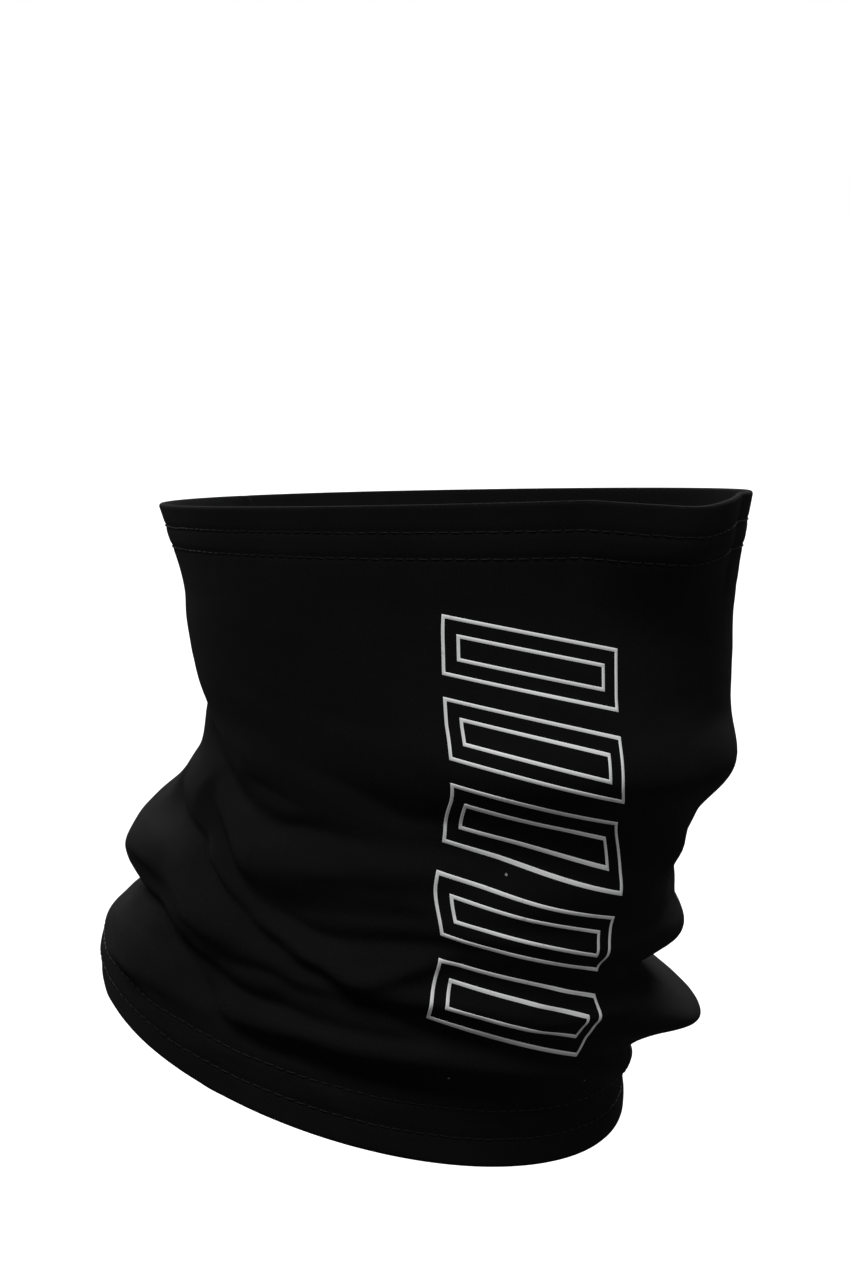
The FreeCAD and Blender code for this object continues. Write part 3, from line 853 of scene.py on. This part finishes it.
class GAITER_OT_cloth(bpy.types.Operator):
    """Make the knit tube with its two turned-in hems as one sheet of cloth"""
    bl_idname = "gaiter.cloth"
    bl_label = "Cloth"

    def execute(self, context):
        settings = context.scene.gaiter_cloth
        rows, angles = cloth_rows(settings), column_angles()
        height, depth = rows[:, :1], rows[:, 1:]
        depth = np.broadcast_to(depth, (len(rows), len(angles)))
        points = cloth_place(angles[None, :], height, -depth)
        piece = new_piece("neck_gaiter_cloth", points.reshape(-1, 3),
                          sheet_faces(len(rows), len(angles)),
                          shared_material("black merino jersey", knit_material))
        middle = points[:, len(angles) // 2]
        travel = np.concatenate([[0], np.cumsum(np.linalg.norm(np.diff(middle, axis=0), axis=1))])
        around = np.append(angles - BACK, 360.0) / 360 * settings.flat_width
        set_uv(piece, len(angles), around, travel * MM)
        thicken(piece, settings.ply)
        follow_cloth(piece)
        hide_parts("tube_panel", "bottom_hem", "top_hem")
        return {"FINISHED"}


STITCH_STRAY = 0.09      # usual distance of a stitch's ends from its row
STITCH_LIFT = 0.35       # height of a stitch's ends over the cloth, in thread radii
STITCH_ARCH = 0.42
NEEDLE_SEED = 20
LOOPER_SEED = 30
LOOPER_DEPTH = 2.12      # depth of the looper thread's middle, in plies
LOOPER_ARCH = 0.45
LOOP_REACH = (1.5, 1.7)  # how far a loop reaches before and after its needle hole


class GAITER_OT_hem_stitches(bpy.types.Operator):
    """Sew both hems: two needle rows on the outside and the looper thread on the inside"""
    bl_idname = "gaiter.hem_stitches"
    bl_label = "Hem stitches"

    def execute(self, context):
        settings = context.scene.gaiter_stitches
        near, far = settings.first_row / MM, settings.second_row / MM
        thread = shared_material("black sewing thread", thread_material)
        hems = {"bottom_hem": (near, far), "top_hem": (TUBE_HEIGHT - far, TUBE_HEIGHT - near)}
        for index, (hem, (low, high)) in enumerate(hems.items()):
            for row, height in (("lower", low), ("upper", high)):
                name = hem + "_needle_thread_" + row
                self.needle_row(name, height, thread, settings, NEEDLE_SEED + index)
            self.looper_row(hem + "_looper_thread", low, high, thread, settings,
                            LOOPER_SEED + index)
        return {"FINISHED"}

    def needle_row(self, node, height, thread, settings, seed):
        """Row of short stitches half sunk in the cloth's outer face."""
        angles = even_angles(height, settings.pitch / MM)
        share = settings.length / settings.pitch
        ends = angles[:-1] + np.diff(angles) * share
        lift = settings.thread / MM * STITCH_LIFT
        starts_at, normals, _, up_way = cloth_frame(angles[:-1], height)
        ends_at = cloth_place(ends, height, lift)
        starts_at = starts_at + normals * lift
        stray = np.random.default_rng(seed).normal(0, STITCH_STRAY, (2, len(ends)))
        starts_at = starts_at + up_way * stray[0][:, None]
        ends_at = ends_at + up_way * stray[1][:, None]
        sew_on(lay_strands(node + "_stitches", starts_at, ends_at, normals, STITCH_ARCH, seed,
                           thread), node)

    def looper_row(self, node, low, high, thread, settings, seed):
        """Zigzag of thread over the inner ply, looped at both needle rows."""
        ply = bpy.context.scene.gaiter_cloth.ply / MM
        inside = -(ply * LOOPER_DEPTH + settings.thread / MM * 0.5)
        angles = even_angles(low, settings.pitch / MM)
        halfway = (angles[:-1] + angles[1:]) / 2
        low_places = cloth_place(angles, low, inside)
        high_places = cloth_place(halfway, high, inside)
        _, low_normals, round_way, _ = cloth_frame(angles[:-1], low)
        _, high_normals, _, _ = cloth_frame(halfway, high)
        before, after = round_way * LOOP_REACH[0], round_way * LOOP_REACH[1]
        starts = np.concatenate([low_places[:-1], high_places, low_places[:-1] - before,
                                 high_places - before])
        ends = np.concatenate([high_places, low_places[1:], low_places[:-1] + after,
                               high_places + after])
        normals = -np.concatenate([low_normals, high_normals, low_normals, high_normals])
        sew_on(lay_strands(node + "_loops", starts, ends, normals, LOOPER_ARCH, seed, thread),
               node)


SEAM_WIDTH = 7.0
SEAM_THICKNESS = 1.7
SEAM_GAP = 0.05          # from the cloth's inner face to the edges
SEAM_OVERLAP = 3.0       # how far the edges reach in under each hem
SEAM_ROWS = 110
SEAM_WAVE = (0.12, 2.9)  # how far the free side waves, and the wave's length over 2 pi
OVERLOCK_PITCH = 2.6
OVERLOCK_NEAR = 2.2      # where its inner loops lie, from the seam
OVERLOCK_PAST = 0.2      # how far it wraps past the raw edges
OVERLOCK_OVER = 0.15     # its distance from the band's inner face
OVERLOCK_RISE = 0.35     # how much nearer the cloth it is at the free side
OVERLOCK_UNDER = 0.5     # where its wrapped end lies, from the band's other face
OVERLOCK_LOOP = (1.2, 1.3)
OVERLOCK_ARCH = 0.3
OVERLOCK_SEED = 41


class GAITER_OT_back_seam(bpy.types.Operator):
    """Make the raw edges inside the back seam and the overlock thread that wraps them"""
    bl_idname = "gaiter.back_seam"
    bl_label = "Back seam"

    def execute(self, context):
        cloth = context.scene.gaiter_cloth
        hem = cloth.hem_depth / MM
        depth = cloth.ply / MM + SEAM_GAP
        self.edges(hem, depth)
        self.overlock(hem, depth)
        return {"FINISHED"}

    def edges(self, hem, first_depth):
        """Both cut edges as one flat band, rounded at its free side."""
        heights = np.linspace(hem - SEAM_OVERLAP, TUBE_HEIGHT - hem + SEAM_OVERLAP, SEAM_ROWS)
        half = SEAM_THICKNESS / 2
        flat = np.linspace(0, SEAM_WIDTH, 9)
        profile = np.array([(across, 0.0) for across in flat]
                           + [(SEAM_WIDTH + half * math.sin(step), half * (1 - math.cos(step)))
                              for step in np.linspace(0, math.pi, 6)[1:-1]]
                           + [(across, SEAM_THICKNESS) for across in flat[::-1]])
        wave = SEAM_WAVE[0] * np.sin(heights / SEAM_WAVE[1])[:, None] * profile[:, 0] / SEAM_WIDTH
        angles = BACK + np.degrees((profile[:, 0] + wave) / COLUMN_RADIUS)
        depth = np.broadcast_to(first_depth + profile[:, 1], angles.shape)
        points = cloth_place(angles, heights[:, None], -depth)
        columns = len(profile)
        faces = [face[::-1] for face in sheet_faces(SEAM_ROWS, columns)]
        faces.append(tuple(range(columns)))
        faces.append(tuple(range(columns * (SEAM_ROWS - 1), columns * SEAM_ROWS))[::-1])
        piece = new_piece("back_seam_edges", points.reshape(-1, 3), faces,
                          shared_material("black merino jersey", knit_material))
        set_uv(piece, columns, np.append(profile[:, 0], 0) * MM, heights * MM)
        sew_on(piece, "back_seam_allowance")

    def overlock(self, hem, first_depth):
        """Thread that zigzags over the band and wraps its free side."""
        places = np.arange(hem + 1, TUBE_HEIGHT - hem - 1, OVERLOCK_PITCH)
        lift = -(first_depth + SEAM_THICKNESS + OVERLOCK_OVER)
        far, near = [np.full_like(places, BACK + math.degrees(width / COLUMN_RADIUS))
                     for width in (SEAM_WIDTH + OVERLOCK_PAST, OVERLOCK_NEAR)]
        over = cloth_place(far, places, lift + OVERLOCK_RISE)
        back = cloth_place(near, places + OVERLOCK_PITCH * 0.5, lift)
        low = cloth_place(far, places, -(first_depth + OVERLOCK_UNDER))
        _, normals, _, up_way = cloth_frame(near, places)
        starts = np.concatenate([over, back[:-1], back - up_way * OVERLOCK_LOOP[0], over])
        ends = np.concatenate([back, over[1:], back + up_way * OVERLOCK_LOOP[1], low])
        every = np.concatenate([normals, normals[:-1], normals, normals])
        thread = shared_material("black sewing thread", thread_material)
        sew_on(lay_strands("back_seam_overlock_loops", starts, ends, -every, OVERLOCK_ARCH,
                           OVERLOCK_SEED, thread), "back_seam_overlock_thread")


RIBBON_THICKNESS = 0.16
PAGE_MARGIN = 0.4        # from the hinge to the page, and from the page's flat part to its end
PAGE_GAP = 0.28          # how far each layer bulges from the page's middle
END_GAP = 0.1            # how far each layer stands from it at both ends
PAGE_BOW = 0.9
FOLD_RADIUS = 0.34
FOLD_FLATNESS = 0.6
SEWN_EDGE_THICKNESS = 0.3
SEWN_EDGE_MARGIN = 0.4   # how much shorter the sewn edge is at each end
SEWN_EDGE_LINE = np.array([(0.15, 0.0), (0.9, 0.12), (1.9, 0.3), (2.8, 0.2), (3.5, -0.3)])
TACK_COUNT = 6
TACK_LENGTH = 2.4
TACK_PLACE = (1.6, 0.5)  # from the hinge towards the seam, and aside
TACK_ARCH = 0.2
TACK_SEED = 51


def label_axes():
    """Hinge point, direction up the seam, across the page, and out of the page, from the frame."""
    joint = next(item for item in frame["joints"] if item["name"] == "label_flap")
    hinge = np.array(joint["pos_m"], float) / MM
    up = unit(np.array(joint["axis"], float))
    corners = [np.array(corner, float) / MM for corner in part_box("care_label")]
    middle = (corners[0] + corners[1]) / 2
    across = middle - hinge
    across = unit(across - up * np.dot(across, up))
    return hinge, up, across, np.cross(up, across)


class GAITER_OT_care_label(bpy.types.Operator):
    """Make the folded ribbon label, its sewn edge and its tack stitches"""
    bl_idname = "gaiter.care_label"
    bl_label = "Care label"

    def execute(self, context):
        settings = context.scene.gaiter_label
        satin = shared_material("satin label ribbon", satin_material)
        page, along = settings.page / MM, settings.along / MM
        hinge, up, across, out = label_axes()
        shares = np.linspace(0, 1, 17)
        reach = PAGE_MARGIN + shares * (page - 2 * PAGE_MARGIN)
        half_gap = PAGE_GAP * np.sin(np.pi * shares ** 0.8) + END_GAP
        bow = PAGE_BOW * np.sin(np.pi * shares)
        turn = np.linspace(0, math.pi, 5)[1:-1]
        fold = np.stack([page - PAGE_MARGIN + FOLD_RADIUS * np.sin(turn),
                         FOLD_RADIUS * np.cos(turn) * FOLD_FLATNESS], 1)
        line = np.concatenate([np.stack([reach, bow + half_gap], 1), fold,
                               np.stack([reach, bow - half_gap], 1)[::-1]])
        rows = np.linspace(0, along, 23)
        points = (hinge + across * line[None, :, :1] + out * line[None, :, 1:]
                  + up * rows[:, None, None])
        piece = new_piece("care_label_page", points.reshape(-1, 3),
                          sheet_faces(len(rows), len(line), closed_columns=False), satin)
        travel = np.concatenate([[0], np.cumsum(np.linalg.norm(np.diff(line, axis=0), axis=1))])
        set_uv(piece, len(line), np.append(travel, 0) * MM, rows * MM)
        thicken(piece, RIBBON_THICKNESS * MM)
        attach(piece, "label_page")
        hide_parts("care_label")
        tab = self.sewn_edge(hinge, up, along, satin)
        return {"FINISHED"}

    def sewn_edge(self, hinge, up, along, satin):
        """Edge of the ribbon from the seam to the page's hinge, and the tacks that hold it."""
        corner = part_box("care_label_tacks")
        wall = np.array(((corner[0] + corner[1]) / 2), float) / MM
        root = wall - hinge
        root = unit(root - up * np.dot(root, up))
        aside = np.cross(up, root)
        line = SEWN_EDGE_LINE
        rows = np.linspace(SEWN_EDGE_MARGIN, along - SEWN_EDGE_MARGIN, 12)
        points = (hinge + root * line[None, :, :1] + aside * line[None, :, 1:]
                  + up * rows[:, None, None])
        tab = new_piece("care_label_sewn_edge", points.reshape(-1, 3),
                        sheet_faces(len(rows), len(line), closed_columns=False), satin)
        set_uv(tab, len(line), np.append(line[:, 0], 0) * MM, rows * MM)
        thicken(tab, SEWN_EDGE_THICKNESS * MM)
        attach(tab, "neck_tube")
        places = (np.arange(TACK_COUNT) + 0.5) / TACK_COUNT * along - TACK_LENGTH / 2
        starts = hinge + up * places[:, None] + root * TACK_PLACE[0] + aside * TACK_PLACE[1]
        tacks = lay_strands("care_label_tack_stitches", starts, starts + up * TACK_LENGTH,
                            np.broadcast_to(aside, starts.shape), TACK_ARCH, TACK_SEED,
                            shared_material("black sewing thread", thread_material))
        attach(tacks, "neck_tube")
        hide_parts("care_label_tacks")
        return tab


FILM_BEVEL = 0.08
FILM_LIFT = 0.06         # height of the film's back over the cloth
LONG_SIDE = 10.0         # a side longer than this has more points
SIDE_POINTS = (64, 20)   # on a long and on a short side


class GAITER_OT_print(bpy.types.Operator):
    """Make the column of slanted outlined bars in transfer film"""
    bl_idname = "gaiter.print"
    bl_label = "Print"

    def execute(self, context):
        settings = context.scene.gaiter_print
        film = shared_material("grey transfer film", film_material)
        for bar in range(settings.bars):
            base = bar * settings.bar_pitch / MM
            parts = [self.outline(base, inset / MM, settings) for inset in (0, settings.inset)]
            points, faces, uv = [], [], []
            for part_points, part_faces, part_uv in parts:
                offset = sum(len(item) for item in points)
                faces += [tuple(index + offset for index in face) for face in part_faces]
                points.append(part_points)
                uv += part_uv
            name = "print_bar_" + str(bar + 1)
            piece = new_piece(name + "_film", np.concatenate(points), faces, film)
            layer = piece.data.uv_layers.new(name="UVMap")
            layer.data.foreach_set("uv", np.array(uv).ravel())
            sew_on(piece, name)
        return {"FINISHED"}

    def corners(self, base, inset, settings):
        """Corners of one slanted bar, moved in by an inset."""
        half = settings.width / MM / 2 - inset
        low, high = base + inset, base + settings.bar_height / MM - inset
        rise = settings.slant / settings.width * half
        return np.array([(-half, low + rise), (half, low - rise), (half, high - rise),
                         (-half, high + rise)])

    def outline(self, base, inset, settings):
        """Points, faces and UVs of one ring of film."""
        line, film = settings.line / MM, settings.film / MM
        profile = ((0, 0.0), (0, film * 0.5), (FILM_BEVEL, film), (line / 2, film * 1.1),
                   (line - FILM_BEVEL, film), (line, film * 0.5), (line, 0.0), (line / 2, -0.05))
        rings = []
        for across, lift in profile:
            corners = self.corners(base, inset + across, settings)
            places = []
            for start, end in zip(corners, np.roll(corners, -1, axis=0)):
                count = SIDE_POINTS[0 if abs(end[0] - start[0]) > LONG_SIDE else 1]
                shares = np.linspace(0, 1, count, endpoint=False)[:, None]
                places.append(start + (end - start) * shares)
            places = np.concatenate(places)
            height = settings.first_bar / MM + places[:, 1]
            radius = (smooth_value(SECTIONS, height, 3) + smooth_value(SECTIONS, height, 4)) / 2
            angle = smooth_value(PRINT_MIDDLE, places[:, 1], 1) - np.degrees(places[:, 0] / radius)
            rings.append(cloth_place(angle, height, np.full(len(angle), lift + FILM_LIFT)))
        columns = len(rings[0])
        faces = sheet_faces(len(rings), columns, closed_rows=True)
        uv = []
        for face in faces:
            for index in face:
                row, column = divmod(index, columns)
                uv.append((column * MM, min(profile[row][0] / line, 1.0)))
        return np.concatenate(rings), faces, uv


FLOOR_HALF = 30.0
AIM_HEIGHT = 0.155       # of the point that the camera looks at
AIM_ASIDE = 0.0072       # that point's distance to the left of the axis, as the camera sees it
LAMP_SIZE = 30.0         # degrees across, which makes soft shadows
# Lamps: name, way towards the lamp, strength
SUNS = (("key", (-0.80, -0.40, 1.10), 2.5), ("fill", (0.35, -1.00, 0.25), 0.45),
        ("side", (1.00, 0.80, 1.00), 2.4), ("back", (0.30, 1.30, 0.90), 0.9))


class GAITER_OT_stage(bpy.types.Operator):
    """Make the floor, the soft lights and the camera"""
    bl_idname = "gaiter.stage"
    bl_label = "Stage"

    def execute(self, context):
        settings = context.scene.gaiter_stage
        self.floor(settings)
        self.lights(context, settings)
        self.camera(context, settings)
        return {"FINISHED"}

    def floor(self, settings):
        """Wide plain floor below the gaiter."""
        low = CAD_BOX[0][2] - settings.floor_drop
        corners = [(x * FLOOR_HALF, y * FLOOR_HALF, low)
                   for x, y in ((-1, -1), (1, -1), (1, 1), (-1, 1))]
        mesh = bpy.data.meshes.new("studio_floor")
        mesh.from_pydata(corners, [], [(0, 1, 2, 3)])
        mesh.materials.append(floor_material())
        floor = bpy.data.objects.new("studio_floor", mesh)
        bpy.context.scene.collection.objects.link(floor)
        floor.visible_diffuse = False
        floor.visible_glossy = False

    def lights(self, context, settings):
        """White surroundings, dimmer as a light than as seen, and soft lamps."""
        world = bpy.data.worlds.new("studio")
        world.use_nodes = True
        wire = Wiring(world.node_tree)
        background = world.node_tree.nodes["Background"]
        background.inputs["Color"].default_value = (1, 1, 1, 1)
        seen = wire.node("ShaderNodeLightPath").outputs["Is Camera Ray"]
        wire.link(wire.ramp(seen, 0, 1, settings.surround, 1.0), background.inputs["Strength"])
        context.scene.world = world
        for name, way, strength in SUNS:
            light = bpy.data.lights.new(name, "SUN")
            light.angle = math.radians(LAMP_SIZE)
            light.energy = strength
            lamp = bpy.data.objects.new(name, light)
            back = unit(np.array(way))
            lamp.location = back * 2
            lamp.rotation_euler = (math.acos(back[2]), 0, math.atan2(back[0], -back[1]))
            context.scene.collection.objects.link(lamp)
        context.scene.view_settings.view_transform = "Standard"

    def camera(self, context, settings):
        """Camera that looks at the wearer's right cheek from a little above."""
        azimuth, elevation = settings.azimuth, settings.elevation
        back = np.array((math.sin(azimuth) * math.cos(elevation),
                         -math.cos(azimuth) * math.cos(elevation), math.sin(elevation)))
        right = np.array((math.cos(azimuth), math.sin(azimuth), 0))
        target = np.array((0, 0, AIM_HEIGHT)) - AIM_ASIDE * right
        lens = bpy.data.cameras.new("camera")
        lens.lens = settings.lens
        lens.sensor_width = 36
        camera = bpy.data.objects.new("camera", lens)
        camera.location = target + back * settings.distance
        camera.rotation_euler = (math.pi / 2 - elevation, 0, azimuth)
        context.scene.collection.objects.link(camera)
        context.scene.camera = camera


class GAITER_PT_panel(bpy.types.Panel):
    """Steps that make the gaiter, in order"""
    bl_idname = "GAITER_PT_panel"
    bl_label = "Neck gaiter"
    bl_space_type = "VIEW_3D"
    bl_region_type = "UI"
    bl_category = "Gaiter"

    def draw(self, context):
        for operator in OPERATORS:
            self.layout.operator(operator.bl_idname)
        for group in SETTINGS:
            box = self.layout.box()
            values = getattr(context.scene, group)
            for name in values.__annotations__:
                box.prop(values, name)


SETTINGS = {"gaiter_cloth": ClothSettings, "gaiter_stitches": StitchSettings,
            "gaiter_print": PrintSettings, "gaiter_label": LabelSettings,
            "gaiter_stage": StageSettings}
OPERATORS = (GAITER_OT_stage, GAITER_OT_cloth, GAITER_OT_hem_stitches, GAITER_OT_back_seam,
             GAITER_OT_care_label, GAITER_OT_print)


def register():
    """Register the settings, the operators and the panel."""
    for name, group in SETTINGS.items():
        bpy.utils.register_class(group)
        setattr(bpy.types.Scene, name, bpy.props.PointerProperty(type=group))
    for operator in OPERATORS:
        bpy.utils.register_class(operator)
    bpy.utils.register_class(GAITER_PT_panel)


def unregister():
    """Undo register."""
    bpy.utils.unregister_class(GAITER_PT_panel)
    for operator in reversed(OPERATORS):
        bpy.utils.unregister_class(operator)
    for name, group in reversed(SETTINGS.items()):
        delattr(bpy.types.Scene, name)
        bpy.utils.unregister_class(group)


def main():
    """Make every piece in order."""
    register()
    for operator in (bpy.ops.gaiter.stage, bpy.ops.gaiter.cloth, bpy.ops.gaiter.hem_stitches,
                     bpy.ops.gaiter.back_seam, bpy.ops.gaiter.care_label, bpy.ops.gaiter.print):
        operator()


if __name__ == "__main__":
    main()
